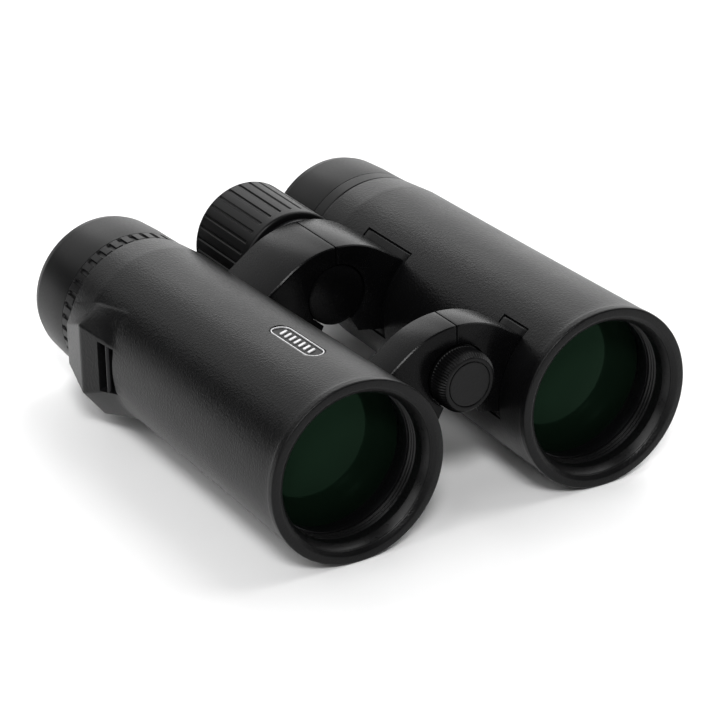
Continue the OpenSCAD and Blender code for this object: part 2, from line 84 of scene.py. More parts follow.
RIM_R = 25.6
RIM_ROUNDING = 0.5
RIM_STEP = 0.1
RIM_FLAT_Y = 1.8
RIM_END_Y = 3.0
RIM_CORE_R = 23.55
RIM_CORE_END_Y = 2.4
CORE_GAP = 0.05
TAPER = 0.0262
TAPER_EASING = 0.00005
RUBBER = 1.6
CONE_Y = 105.0
NECK_Y = 115.8
NECK_JOINT_R = 22.3
NECK_END_Y = 121.0
FRONT_BORE_R = 22.3
MOUTH_R = 20.8
LENS_R = 21.4
LENS_Y = 13.0
ARCH_R = 26.4
FLANK = 35.0
FRONT_BRIDGE = (12.6, 23.0)
REAR_BRIDGE = (73.0, 94.2)
FRONT_WINDOW = (-10.0, 51.5)
REAR_WINDOW = (-11.0, 53.0)
SHELL_BORE_R = 9.1
FRONT_WALL_R = 22.8
REAR_WALL_R = 21.3
ARM_FOOT_ANGLE = -6
KNUCKLE_R = 8.8
WHEEL_Y = 96.6
WHEEL_R = 15.9
WHEEL_LEN = 27.4


def polar(r, degrees):
    a = math.radians(degrees)
    return r * math.cos(a), r * math.sin(a)


def spread(low, high, step):
    """Evenly spaced values from low to high, no further apart than step."""
    count = max(1, math.ceil((high - low) / step - 1e-6))
    return [low + (high - low) * i / count for i in range(count + 1)]


def smooth(t):
    t = min(max(t, 0.0), 1.0)
    return t * t * (3 - 2 * t)


# ---------- meshes ----------


def soften(outline, radius=0.25, steps=3):
    """The closed outline with every corner rounded. A point may carry its own radius as a third value."""
    out = []
    for i, point in enumerate(outline):
        p = Vector(point[:2])
        a = Vector(outline[i - 1][:2])
        b = Vector(outline[(i + 1) % len(outline)][:2])
        r = point[2] if len(point) > 2 else radius
        to_a, to_b = a - p, b - p
        turn = math.pi - to_a.angle(to_b, math.pi)
        cut = min(r * math.tan(turn / 2), 0.45 * to_a.length, 0.45 * to_b.length)
        if r <= 0 or turn < math.radians(4) or cut < 1e-4:
            out.append(tuple(p))
            continue
        start, end = p + to_a.normalized() * cut, p + to_b.normalized() * cut
        for k in range(steps + 1):
            t = k / steps
            q = start * (1 - t) ** 2 + p * 2 * t * (1 - t) + end * t * t
            out.append(tuple(q))
    return out


def lathe(outline, steps=160, change=None, span=None):
    """A closed outline of (radius, y) turned about Y, all the way round or over a span of angles.
    change(angle, radius, y) may give each point another radius."""
    if span:
        angles = spread(span[0], span[1], 360 / steps)
    else:
        angles = [360 * j / steps for j in range(steps)]
    n = len(outline)
    verts = []
    for a in angles:
        for r, y in outline:
            x, z = polar(change(a, r, y) if change else r, a)
            verts.append((x, y, z))
    faces = []
    rings = len(angles)
    for j in range(rings if not span else rings - 1):
        k = (j + 1) % rings
        for i in range(n):
            m = (i + 1) % n
            faces.append((j * n + i, j * n + m, k * n + m, k * n + i))
    if span:
        faces.append(tuple(range(n)))
        faces.append(tuple((rings - 1) * n + i for i in reversed(range(n))))
    return verts, faces


def turned_lens(radius, y0, y1, front, back, steps=128, rings=14):
    """A round lens with vertices at y0 and y1. Both faces bulge outwards, with radii of curvature front and
    back."""

    def sag(curve, r):
        return curve - math.sqrt(curve * curve - r * r)

    half = [radius * i / rings for i in range(1, rings + 1)]
    rim = [(r, y0 + sag(front, r)) for r in half] + [(r, y1 - sag(back, r)) for r in reversed(half)]
    verts = [(0, y0, 0), (0, y1, 0)]
    n = len(rim)
    for j in range(steps):
        for r, y in rim:
            x, z = polar(r, 360 * j / steps)
            verts.append((x, y, z))
    faces = []
    for j in range(steps):
        k = (j + 1) % steps
        a, b = 2 + j * n, 2 + k * n
        faces.append((0, a, b))
        faces.append((1, b + n - 1, a + n - 1))
        for i in range(n - 1):
            faces.append((a + i, a + i + 1, b + i + 1, b + i))
    return verts, faces


def disc(radius, y0, y1, edge=0.2, steps=96, rings=10):
    """A round plate with softened edges and closed faces."""
    rim = [(radius * i / rings, y0) for i in range(1, rings)]
    rim += [(radius - edge, y0), (radius - 0.3 * edge, y0 + 0.3 * edge), (radius, y0 + edge)]
    rim += [(radius, y1 - edge), (radius - 0.3 * edge, y1 - 0.3 * edge), (radius - edge, y1)]
    rim += [(radius * i / rings, y1) for i in reversed(range(1, rings))]
    n = len(rim)
    verts = [(0, y0, 0), (0, y1, 0)]
    for j in range(steps):
        for r, y in rim:
            x, z = polar(r, 360 * j / steps)
            verts.append((x, y, z))
    faces = []
    for j in range(steps):
        a, b = 2 + j * n, 2 + (j + 1) % steps * n
        faces.append((0, a, b))
        faces.append((1, b + n - 1, a + n - 1))
        faces += [(a + i, a + i + 1, b + i + 1, b + i) for i in range(n - 1)]
    return verts, faces


def shifted(part, move):
    verts, faces = part
    return [tuple(Vector(v) + Vector(move)) for v in verts], faces


def prism(outline, y0, y1, bevels=()):
    """An outline of (x, z) points stretched along Y, then bevelled. Each bevel is (width, segments, clamp,
    test), where clamp stops it at its neighbours and test(edge) says whether it takes that edge."""
    bm = bmesh.new()
    front = [bm.verts.new((x, y0, z)) for x, z in outline]
    back = [bm.verts.new((x, y1, z)) for x, z in outline]
    n = len(outline)
    bm.faces.new(front)
    bm.faces.new(list(reversed(back)))
    for i in range(n):
        k = (i + 1) % n
        bm.faces.new((front[k], front[i], back[i], back[k]))
    bmesh.ops.recalc_face_normals(bm, faces=bm.faces)
    for width, segments, clamp, test in bevels:
        edges = [e for e in bm.edges if test(e)]
        bmesh.ops.bevel(
            bm, geom=edges, offset=width, segments=segments, profile=0.6, affect="EDGES", clamp_overlap=clamp
        )
    bm.verts.index_update()
    verts = [tuple(v.co) for v in bm.verts]
    faces = [tuple(v.index for v in f.verts) for f in bm.faces]
    bm.free()
    return verts, faces


def piece(name, parts, matrix, body, material, nodes, slot, sharp):
    """Joins the parts into one object in the frame, riding on a body and standing for CAD nodes."""
    verts, faces = [], []
    for part_verts, part_faces in parts:
        base = len(verts)
        verts += part_verts
        faces += [[i + base for i in face] for face in part_faces]
    mesh = bpy.data.meshes.new(name)
    mesh.from_pydata(verts, [], faces)
    mesh.transform(matrix)
    bm = bmesh.new()
    bm.from_mesh(mesh)
    bmesh.ops.recalc_face_normals(bm, faces=bm.faces)
    bm.to_mesh(mesh)
    bm.free()
    mesh.polygons.foreach_set("use_smooth", [True] * len(mesh.polygons))
    mesh.set_sharp_from_angle(angle=math.radians(sharp))
    mesh.materials.append(material)
    obj = bpy.data.objects.new(name, mesh)
    bpy.context.scene.collection.objects.link(obj)
    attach(obj, body)
    if nodes:
        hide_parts(*nodes)


# ---------- materials ----------


class Recipe:
    """A node material built up from a Principled shader, with short calls for what these materials share."""

    def __init__(self, name, base, roughness, metallic=0.0, specular=0.5):
        self.material = bpy.data.materials.new(name)
        self.material.use_nodes = True
        self.tree = self.material.node_tree
        self.shader = self.tree.nodes["Principled BSDF"]
        self.shader.inputs["Base Color"].default_value = (*base, 1)
        self.shader.inputs["Roughness"].default_value = roughness
        self.shader.inputs["Metallic"].default_value = metallic
        self.shader.inputs["Specular IOR Level"].default_value = specular
        self.normal = None
        self.coords = self.tree.nodes.new("ShaderNodeTexCoord").outputs["Object"]

    def noise(self, size, detail=3.0, rough=0.55, stretch=(1, 1, 1)):
        """Noise with features about size metres across."""
        place = self.tree.nodes.new("ShaderNodeMapping")
        place.inputs["Scale"].default_value = stretch
        self.tree.links.new(self.coords, place.inputs["Vector"])
        node = self.tree.nodes.new("ShaderNodeTexNoise")
        node.inputs["Scale"].default_value = 1 / size
        node.inputs["Detail"].default_value = detail
        node.inputs["Roughness"].default_value = rough
        self.tree.links.new(place.outputs[0], node.inputs["Vector"])
        return node.outputs["Fac"]

    def cells(self, size):
        """Cells about size metres across."""
        node = self.tree.nodes.new("ShaderNodeTexVoronoi")
        node.inputs["Scale"].default_value = 1 / size
        self.tree.links.new(self.coords, node.inputs["Vector"])
        return node.outputs["Distance"]

    def ramp(self, value, low, high, out_low, out_high):
        node = self.tree.nodes.new("ShaderNodeMapRange")
        limits = {"From Min": low, "From Max": high, "To Min": out_low, "To Max": out_high}
        for name, number in limits.items():
            node.inputs[name].default_value = number
        self.tree.links.new(value, node.inputs["Value"])
        return node.outputs["Result"]

    def add(self, a, b):
        node = self.tree.nodes.new("ShaderNodeMath")
        node.operation = "ADD"
        self.tree.links.new(a, node.inputs[0])
        self.tree.links.new(b, node.inputs[1])
        return node.outputs[0]

    def tint(self, value, low, high):
        """Base colour between two colours as value goes from 0 to 1."""
        node = self.tree.nodes.new("ShaderNodeMix")
        node.data_type = "RGBA"
        self.tree.links.new(value, node.inputs["Factor"])
        node.inputs[6].default_value = (*low, 1)
        node.inputs[7].default_value = (*high, 1)
        self.tree.links.new(node.outputs[2], self.shader.inputs["Base Color"])

    def rough(self, value):
        self.tree.links.new(value, self.shader.inputs["Roughness"])

    def bump(self, height, depth, strength=1.0):
        """Adds relief of about depth metres."""
        node = self.tree.nodes.new("ShaderNodeBump")
        node.inputs["Strength"].default_value = strength
        node.inputs["Distance"].default_value = depth
        self.tree.links.new(height, node.inputs["Height"])
        if self.normal:
            self.tree.links.new(self.normal, node.inputs["Normal"])
        self.normal = node.outputs["Normal"]
        self.tree.links.new(self.normal, self.shader.inputs["Normal"])


def scaled(colour, factor):
    return tuple(c * factor for c in colour)


def armour_rubber():
    """Soft-touch rubber with a fine leather grain."""
    base = (0.0022, 0.0022, 0.0024)
    r = Recipe("armour_rubber", base, 0.34, specular=0.18)
    grain = r.noise(0.00045, 3.0, 0.6)
    creases = r.cells(0.00065)
    dust = r.noise(0.02, 3.0)
    r.tint(r.ramp(dust, 0.3, 0.7, 0, 1), scaled(base, 0.85), scaled(base, 1.2))
    r.rough(r.add(r.ramp(grain, 0.3, 0.7, 0.3, 0.38), r.ramp(dust, 0.3, 0.7, -0.02, 0.03)))
    r.bump(grain, 0.00007, 0.8)
    r.bump(creases, 0.00006, 0.7)
    return r.material


def rim_rubber():
    """The moulded rubber of eyecups, wheel and rings: finer and smoother than the armour."""
    base = (0.0022, 0.0022, 0.0024)
    r = Recipe("grip_rubber", base, 0.38, specular=0.16)
    fine = r.noise(0.0004, 3.0)
    patches = r.noise(0.012, 3.0)
    r.tint(r.ramp(patches, 0.3, 0.7, 0, 1), scaled(base, 0.9), scaled(base, 1.15))
    r.rough(r.ramp(fine, 0.3, 0.7, 0.34, 0.44))
    r.bump(fine, 0.00003, 0.5)
    return r.material


def casting_lacquer():
    """Satin black lacquer on a magnesium casting, with a fine orange-peel texture."""
    base = (0.0022, 0.0022, 0.0024)
    r = Recipe("casting_lacquer", base, 0.25, specular=0.09)
    peel = r.noise(0.0005, 3.0)
    wear = r.noise(0.008, 4.0)
    r.tint(r.ramp(wear, 0.35, 0.75, 0, 1), scaled(base, 0.9), scaled(base, 1.3))
    r.rough(r.add(r.ramp(peel, 0.3, 0.7, 0.22, 0.29), r.ramp(wear, 0.3, 0.7, -0.03, 0.03)))
    r.bump(peel, 0.00005, 0.5)
    return r.material


def plain_metal(name, base, roughness, metallic, stretch=(1, 1, 1)):
    """Machined or anodised metal with turning marks."""
    r = Recipe(name, base, roughness, metallic)
    marks = r.noise(0.0006, 2.0, 0.5, stretch)
    patches = r.noise(0.006, 3.0)
    r.tint(r.ramp(patches, 0.3, 0.7, 0, 1), scaled(base, 0.85), scaled(base, 1.1))
    r.rough(r.ramp(marks, 0.3, 0.7, roughness * 0.8, min(roughness * 1.25, 1)))
    r.bump(marks, 0.00001, 0.6)
    return r.material


def bore_black():
    """Dull black paint of the light baffles."""
    base = (0.003, 0.003, 0.0032)
    r = Recipe("bore_black", base, 0.3, specular=0.3)
    speck = r.noise(0.0005, 3.0)
    r.tint(r.ramp(speck, 0.3, 0.7, 0, 1), scaled(base, 0.8), scaled(base, 1.3))
    r.rough(r.ramp(speck, 0.3, 0.7, 0.26, 0.4))
    r.bump(speck, 0.00002, 0.4)
    return r.material


def coated_glass():
    """An objective's green coating over a dark bore: a dim tinted mirror, and a faint green depth."""
    base = (0.006, 0.0144, 0.0082)
    r = Recipe("coated_glass", base, 0.03, metallic=0.5, specular=0.0)
    sheen = r.noise(0.03, 2.0)
    r.tint(r.ramp(sheen, 0.3, 0.7, 0, 1), scaled(base, 0.88), scaled(base, 1.14))
    smear = r.noise(0.004, 4.0)
    r.rough(r.ramp(smear, 0.45, 0.8, 0.025, 0.06))
    return r.material


def clear_glass():
    """Polished inner glass."""
    r = Recipe("clear_glass", (0.8, 0.86, 0.85), 0.02)
    r.shader.inputs["Transmission Weight"].default_value = 1.0
    r.shader.inputs["IOR"].default_value = 1.52
    ground = r.noise(0.003, 3.0)
    r.rough(r.ramp(ground, 0.4, 0.8, 0.015, 0.05))
    return r.material


def badge_lacquer(name, base, roughness, specular):
    """The badge's plate or its raised marks, slightly worn."""
    r = Recipe(name, base, roughness, specular=specular)
    wear = r.noise(0.0015, 3.0)
    r.tint(r.ramp(wear, 0.35, 0.7, 0, 1), scaled(base, 0.8), scaled(base, 1.1))
    r.rough(r.ramp(wear, 0.3, 0.7, roughness * 0.8, roughness * 1.2))
    return r.material


ARMOUR = armour_rubber()
GRIP = rim_rubber()
LACQUER = casting_lacquer()
BORE = bore_black()
COATED = coated_glass()
CLEAR = clear_glass()
ANODISED = plain_metal("anodised", (0.008, 0.008, 0.009), 0.34, 0.6)
STEEL = plain_metal("steel", (0.45, 0.46, 0.48), 0.3, 1.0, stretch=(1, 12, 1))
BRASS = plain_metal("brass", (0.62, 0.46, 0.2), 0.32, 1.0, stretch=(1, 10, 1))
BADGE_BLACK = badge_lacquer("badge_black", (0.003, 0.003, 0.0033), 0.3, 0.08)
BADGE_SILVER = badge_lacquer("badge_silver", (0.62, 0.62, 0.63), 0.35, 0.5)

# ---------- barrel armour ----------


def taper_r(y):
    """Radius of the rubber along its plain taper."""
    return RIM_R - RIM_STEP - TAPER * y + TAPER_EASING * y * y


def skin_r(y):
    """Radius of the rubber, without lug or badge."""
    if y < RIM_FLAT_Y:
        to_edge = 1 - min(y, RIM_ROUNDING) / RIM_ROUNDING
        return RIM_R - RIM_ROUNDING * (1 - math.sqrt(max(0.0, 1 - to_edge**2)))
    if y < RIM_END_Y:
        return RIM_R + (taper_r(y) - RIM_R) * smooth((y - RIM_FLAT_Y) / (RIM_END_Y - RIM_FLAT_Y))
    if y > CONE_Y:
        start = taper_r(CONE_Y)
        return start + (NECK_JOINT_R - start) * (y - CONE_Y) / (NECK_Y - CONE_Y)
    return taper_r(y)


def core_r(y):
    """Radius of the casting under the rubber."""
    return RIM_CORE_R if y < RIM_CORE_END_Y else skin_r(max(y, RIM_END_Y)) - RUBBER


LUG_Y = (88.0, 102.5, 115.7)
LUG_FRONT = [(-22.6, 6), (-22.6, -6.5), (-16.5, -16.6), (-10, -15), (-10, 12), (-17.6, 15.4)]
LUG_RIDGE = [(-26, 8.5), (-26, -12), (-19.5, -20.2), (-10, -19), (-10, 14), (-19.8, 13)]
LUG_REAR = [(-23.2, 3), (-23.2, -9), (-18.2, -20.4), (-10, -19), (-10, 10), (-20.5, 8.6)]
LUG_SPAN = (140, 236)
LUG_BLEND = 0.35


def lug_r(angle, y):
    """How far out the lug's flat-sided section reaches at an angle, or 0."""
    if not LUG_SPAN[0] < angle < LUG_SPAN[1] or not LUG_Y[0] <= y <= LUG_Y[2]:
        return 0.0
    first = y < LUG_Y[1]
    low, high = (LUG_FRONT, LUG_RIDGE) if first else (LUG_RIDGE, LUG_REAR)
    start, end = (LUG_Y[0], LUG_Y[1]) if first else (LUG_Y[1], LUG_Y[2])
    t = (y - start) / (end - start)
    points = [Vector(a).lerp(Vector(b), t) for a, b in zip(low, high)]
    way = Vector(polar(1, angle))
    reach = 0.0
    for i, a in enumerate(points):
        edge = points[(i + 1) % len(points)] - a
        cross = way.x * edge.y - way.y * edge.x
        if abs(cross) < 1e-9:
            continue
        out = (a.x * edge.y - a.y * edge.x) / cross
        along = (a.x * way.y - a.y * way.x) / cross
        if out > 0 and -1e-6 <= along <= 1 + 1e-6:
            reach = max(reach, out)
    return reach


SLOT_Y = (88.7, 95.5)
SLOT_Z = (-8.0, 5.5)
SLOT_ANGLES_Y = 92
SLOT_FLOOR = 0.25
BADGE_Y = 31.3
BADGE_ANGLE = 87.3
BADGE_HALF_W = 3.05
BADGE_HALF_L = 11.0
BADGE_DEPTH = 0.8
BADGE_WALL = 0.3
BADGE_MARGIN = 0.6


def pill_distance(angle, y):
    """Distance outside the badge's pill outline, negative inside."""
    across = math.radians(angle - BADGE_ANGLE) * skin_r(BADGE_Y)
    along = max(abs(y - BADGE_Y) - (BADGE_HALF_L - BADGE_HALF_W), 0)
    return math.hypot(across, along) - BADGE_HALF_W


def armour_r(angle, y, has_badge):
    """Radius of the rubber with its lug, strap pocket and badge recess."""
    r = skin_r(y)
    lug = lug_r(angle, y)
    if lug:
        gap = lug - r
        z = r * math.sin(math.radians(angle))
        if gap >= LUG_BLEND * 3:
            r = lug
        elif gap > -LUG_BLEND:
            r += 0.5 * (gap + math.hypot(gap, LUG_BLEND))
        if SLOT_Z[0] < z < SLOT_Z[1] and SLOT_Y[0] < y < SLOT_Y[1]:
            r = core_r(y) + SLOT_FLOOR
    if has_badge:
        r -= BADGE_DEPTH * smooth(0.5 - pill_distance(angle, y) / BADGE_WALL)
    return r


def with_edges(values, edges, gap):
    """The values with each edge added, and a line a gap to either side of it."""
    kept = [v for v in values if all(abs(v - e) > 2.2 * gap for e in edges)]
    for e in edges:
        kept += [e - gap, e, e + gap]
    return sorted(set(kept))


def slot_angle(z, y):
    return 180 - math.degrees(math.asin(z / skin_r(y)))


def armour_mesh(side):
    """The rubber round one barrel, with windows where the bridge arms come through."""
    has_badge = side == "right"
    windows = (
        (REAR_WINDOW, (REAR_BRIDGE[0] - 1.3, REAR_BRIDGE[1] + 0.4)),
        (FRONT_WINDOW, (FRONT_BRIDGE[0] - 0.2, FRONT_BRIDGE[1] + 1.3)),
    )
    round_step = 2.4
    angles = spread(-30, LUG_SPAN[0], round_step)[:-1] + spread(LUG_SPAN[0], LUG_SPAN[1], 0.9)[:-1]
    angles += spread(LUG_SPAN[1], 330, round_step)[:-1]
    if has_badge:
        half = math.degrees((BADGE_HALF_W + BADGE_MARGIN) / RIM_R)
        angles = [a for a in angles if abs(a - BADGE_ANGLE) > half + 0.5]
        angles += spread(BADGE_ANGLE - half, BADGE_ANGLE + half, 0.75)
    slot_edges = [slot_angle(SLOT_Z[1], SLOT_ANGLES_Y), slot_angle(SLOT_Z[0], SLOT_ANGLES_Y)]
    angles = with_edges(angles, slot_edges, 0.15)
    angles = with_edges(angles, [a for w, _ in windows for a in w], 0.4)

    stations = [0, 0.08, 0.2, 0.35, RIM_ROUNDING, 1.0, 1.6, RIM_FLAT_Y, 2.2, 2.6, RIM_END_Y]
    stations += spread(RIM_END_Y, LUG_Y[0], 2.6)[1:-1] + spread(LUG_Y[0], NECK_Y - 0.4, 0.75)
    stations += [NECK_Y - 0.2, NECK_Y - 0.12, NECK_Y - 0.09, NECK_Y]
    if has_badge:
        low = BADGE_Y - BADGE_HALF_L - BADGE_MARGIN
        high = BADGE_Y + BADGE_HALF_L + BADGE_MARGIN
        stations = [y for y in stations if not low - 0.4 < y < high + 0.4] + spread(low, high, 0.36)
    stations = with_edges(sorted(set(stations)), SLOT_Y, 0.1)
    stations = with_edges(stations, [y for _, w in windows for y in w], 0.12)

    m, n = len(angles), len(stations)

    def is_solid(j, i):
        """Whether the middle of one grid face lies outside both windows."""
        angle = (angles[j] + (angles[j + 1] if j + 1 < m else angles[0] + 360)) / 2
        y = (stations[i] + stations[i + 1]) / 2
        return not any(w[0] < angle < w[1] and s[0] < y < s[1] for w, s in windows)

    verts = []
    for a in angles:
        for y in stations:
            x, z = polar(armour_r(a, y, has_badge), a)
            verts.append((x, y, z))
    inner_base = len(verts)
    for a in angles:
        for y in stations:
            x, z = polar(core_r(y) + CORE_GAP, a)
            verts.append((x, y, z))
    solid = [[is_solid(j, i) for i in range(n - 1)] for j in range(m)]
    faces = []
    for j in range(m):
        k = (j + 1) % m
        for i in range(n - 1):
            if not solid[j][i]:
                continue
            a, b, c, d = j * n + i, j * n + i + 1, k * n + i + 1, k * n + i
            faces.append((a, b, c, d))
            faces.append((d + inner_base, c + inner_base, b + inner_base, a + inner_base))
            if i == 0 or not solid[j][i - 1]:
                faces.append((a, d, d + inner_base, a + inner_base))
            if i == n - 2 or not solid[j][i + 1]:
                faces.append((c, b, b + inner_base, c + inner_base))
            if not solid[j - 1][i]:
                faces.append((b, a, a + inner_base, b + inner_base))
            if not solid[k][i]:
                faces.append((d, c, c + inner_base, d + inner_base))
    return verts, faces


def rim_lip():
    """The rubber lip that rolls over the front of the barrel into the mouth."""
    root_r = 23.9
    front = [(root_r, 0.02, 0), (23.3, 0.02, 1.2), (21.95, 0.95, 1.2)]
    back = [(21.8, 1.7, 0.2), (22.3, 1.9), (root_r, 1.9)]
    return lathe(soften(front + back, 0.1, 5), 192)


# ---------- casting: core tube, pads, arms and knuckles ----------


def core_tube():
    """The barrel's tube: a wide front bore, a main bore and a narrower neck for the eyepiece."""
    front_y, front_r = 0.6, FRONT_BORE_R + 0.05
    main_r, main_y, seat_y = 20.5, 26, 103
    neck_r, neck_bore_r, eye_r, eye_y = 19, 17.9, 18.5, 109
    outer = [(RIM_CORE_R, front_y), (RIM_CORE_R, RIM_CORE_END_Y)]
    outer += [(core_r(y), y) for y in spread(RIM_END_Y, NECK_Y, 9)]
    neck = [(neck_r, NECK_Y), (neck_r, NECK_END_Y), (neck_bore_r, NECK_END_Y)]
    neck += [(neck_bore_r, eye_y), (eye_r, eye_y), (eye_r, seat_y)]
    bore = [(main_r, seat_y), (main_r, main_y), (front_r, main_y), (front_r, front_y)]
    return lathe(soften(outer + neck + bore, 0.15, 2), 144)


def pad(window, y0, y1):
    """The casting's pad in an armour window, a little below the rubber and with softened edges."""
    inset, sunk, depth = 0.85, 0.1, 4
    edge, corner, rounding = 0.25, 0.07, 0.55
    low, high = window[0] + inset, window[1] - inset
    outer = [(skin_r(y) - sunk, y) for y in spread(y0, y1, 3.0)]
    front_r, back_r = outer[0][0], outer[-1][0]
    outline = [(front_r - depth, y0), (front_r - edge, y0)]
    outline += [(front_r - corner, y0 + corner), (front_r, y0 + edge)]
    outline += outer[1:-1]
    outline += [(back_r, y1 - edge), (back_r - corner, y1 - corner)]
    outline += [(back_r - edge, y1), (back_r - depth, y1)]

    def rounded(angle, r, y):
        if r <= front_r - depth / 2:
            return r
        near = min(angle - low, high - angle)
        return r - edge * (1 - smooth(near / rounding))

    return lathe(outline, 360, rounded, (low, high))


def arm_points(wall_r):
    """One arm's section about the hinge line, x from the hinge and z from the plane of the optical axes.
    It ends on an arc about the barrel's own axis, inside the barrel wall."""
    seam = -0.22
    rise = HINGE_AT[1]
    points = [(seam, rise + SHELL_BORE_R), (seam, ARCH_R)]
    points += [polar(ARCH_R, 90 + a) for a in spread(0, FLANK, 2.5)[1:]]
    start = Vector(points[-1]) + Vector((HINGE_AT[0], 0))
    away = Vector(polar(1, 180 + FLANK))
    inward = -start.dot(away)
    meet = start + (inward - math.sqrt(inward**2 - start.length_squared + wall_r**2)) * away
    meet_angle = math.degrees(math.atan2(meet.y, meet.x))
    for a in reversed(spread(ARM_FOOT_ANGLE, meet_angle, 5)):
        x, z = polar(wall_r, a)
        points.append((x - HINGE_AT[0], z))
    end = 270 - 28.5
    for r in (13.8, SHELL_BORE_R):
        x, z = polar(r, end)
        points.append((x, z + rise))
    for a in reversed(spread(91, end, 6)[:-1]):
        x, z = polar(SHELL_BORE_R, a)
        points.append((x, z + rise))
    return points


def arm(y0, y1, wall_r):
    """An arm with a broad bevel along the front top edge and small ones elsewhere."""

    def on_top(e):
        return all(math.hypot(v.co.x, v.co.z) > ARCH_R - 0.05 for v in e.verts)

    def front_top(e):
        return all(abs(v.co.y - y0) < 1e-4 for v in e.verts) and on_top(e)

    def others(e):
        if len(e.link_faces) != 2 or e.calc_face_angle() < math.radians(40):
            return False
        return all(v.co.x > -25 for v in e.verts) and e.calc_length() > 0.3

    part = prism(arm_points(wall_r), y0, y1, ((0.8, 3, False, front_top), (0.25, 2, True, others)))
    return shifted(part, (HINGE_AT[0], 0, 0))


def knuckle(span, bore):
    """One hinge knuckle, and the web that joins it to its arm."""
    low, high = span
    web_in, web_out = KNUCKLE_R - 0.4, KNUCKLE_R + 0.8
    ring = lathe(soften([(bore, low), (KNUCKLE_R, low), (KNUCKLE_R, high), (bore, high)], 0.2), 96)
    section = [(web_in, low), (web_out, low), (web_out, high), (web_in, high)]
    web = lathe(section, 96, None, (125, 215))
    return [shifted(p, (HINGE_AT[0], 0, HINGE_AT[1])) for p in (ring, web)]


# Each half's rear knuckle, front knuckle and bore radius.
KNUCKLES = {"right": ((74.2, 79.0), (13.2, 17.6), 6.15), "left": ((89.0, 94.2), (17.8, 22.8), 7.25)}


def casting(side):
    rear, front, bore = KNUCKLES[side]
    parts = [core_tube(), arm(*REAR_BRIDGE, REAR_WALL_R), arm(*FRONT_BRIDGE, FRONT_WALL_R)]
    parts.append(pad(REAR_WINDOW, REAR_BRIDGE[0] - 0.95, REAR_BRIDGE[1]))
    parts.append(pad(FRONT_WINDOW, FRONT_BRIDGE[0] + 0.15, FRONT_BRIDGE[1] + 0.95))
    parts += knuckle(rear, bore) + knuckle(front, bore)
    return parts


# ---------- optics and their mounts ----------


def objective_cell():
    """Conical mouth, plain wall and light-trap rings down to the lens."""
    wall = [(22.25, 1.1, 0.1), (22.25, 24), (20, 24), (20, 21.6), (21.45, 21.6), (21.45, 9.6)]
    trap_r = MOUTH_R + 0.5
    rings = []
    for i in range(3):
        y = 9.0 - i * 1.15
        rings += [(MOUTH_R, y + 0.1, 0.05), (trap_r, y - 0.15, 0.05)]
        rings += [(trap_r, y - 0.5, 0.05), (MOUTH_R, y - 0.75, 0.1)]
    mouth = [(MOUTH_R, 3.2, 0.3), (21.9, 1.15, 0.2)]
    return lathe(soften(wall + [(MOUTH_R, 9.6, 0)] + rings + mouth, 0.1, 2), 192)


def objective_ring():
    outline = [(21.38, 9.75), (20.45, 9.75, 0.12), (20.45, 11.2, 0.1), (20.95, 14.6), (21.38, 14.6)]
    return lathe(soften(outline, 0.05, 2), 192)


def eyepiece_tube():
    outside = [(18.45, 103.2), (18.45, 108.8), (15.1, 108.8), (15.1, 131, 0.2)]
    inside = [(13.5, 131, 0.2), (13.5, 106), (8.5, 106), (9.2, 103.2)]
    return lathe(soften(outside + inside, 0.15, 2), 128)


def eye_lens_ring():
    return lathe(soften([(12, 128.9, 0.1), (13.45, 128.9), (13.45, 131.15), (12.6, 131.15)], 0.15, 2), 128)


def eyecup_sleeve():
    top = END_Y - 1.8
    return lathe(soften([(16.6, 109.6), (17.6, 109.6), (17.6, top), (16.6, top)], 0.15, 2), 128)


def eyecup_rubber():
    sleeve_r = 17.62
    side = [(sleeve_r, 121.2), (21.97, 121.16, 0.08), (21.75, 130.2, 8), (21.25, END_Y - 2.6, 2.0)]
    crown = [(20.6, END_Y - 0.25, 1.2), (19.9, END_Y, 1), (17.2, END_Y, 0.8)]
    lip = [(15.6, END_Y - 1.1, 0.6), (16, END_Y - 1.75, 0.2), (sleeve_r, END_Y - 1.75)]
    return lathe(soften(side + crown + lip, 0.1, 5), 192)


RING_R = 22.2
RING_BORE_R = 19.08
SLOTS = 40
SLOT_W = 1.1
SLOT_DEPTH = 0.6
SLOT_END = 120.75


def ring_blank(change=None, steps=160):
    """The ring on a barrel's neck, with a chamfer at the front."""
    front = [(RING_BORE_R, NECK_Y + 0.15), (21.55, NECK_Y + 0.2), (22.05, NECK_Y + 0.6)]
    sides = [(RING_R - 0.04 * (y - 116), y) for y in spread(NECK_Y + 0.9, NECK_END_Y - 0.12, 0.16)]
    outline = front + sides + [(21.9, NECK_END_Y), (RING_BORE_R, NECK_END_Y)]
    return lathe(outline, steps, change)


def off_centre(angle, count):
    """Degrees from the middle of the nearest of count evenly spaced cuts."""
    pitch = 360 / count
    return (angle + pitch / 2) % pitch - pitch / 2


def slotted(angle, r, y):
    """The dioptre ring's slots: open at the front, with round ends at the rear."""
    if r < RING_BORE_R + 1:
        return r
    across = math.radians(off_centre(angle, SLOTS)) * RING_R
    along = max(y - (SLOT_END - SLOT_W / 2), 0)
    inside = SLOT_W / 2 - math.hypot(across, along)
    return r - SLOT_DEPTH * smooth(inside / 0.16 + 0.5)


# ---------- hinge, wheel and tripod cap ----------


def tube(r_out, r_in, y0, y1, soft=0.15, steps=96):
    return lathe(soften([(r_in, y0), (r_out, y0), (r_out, y1), (r_in, y1)], soft, 2), steps)


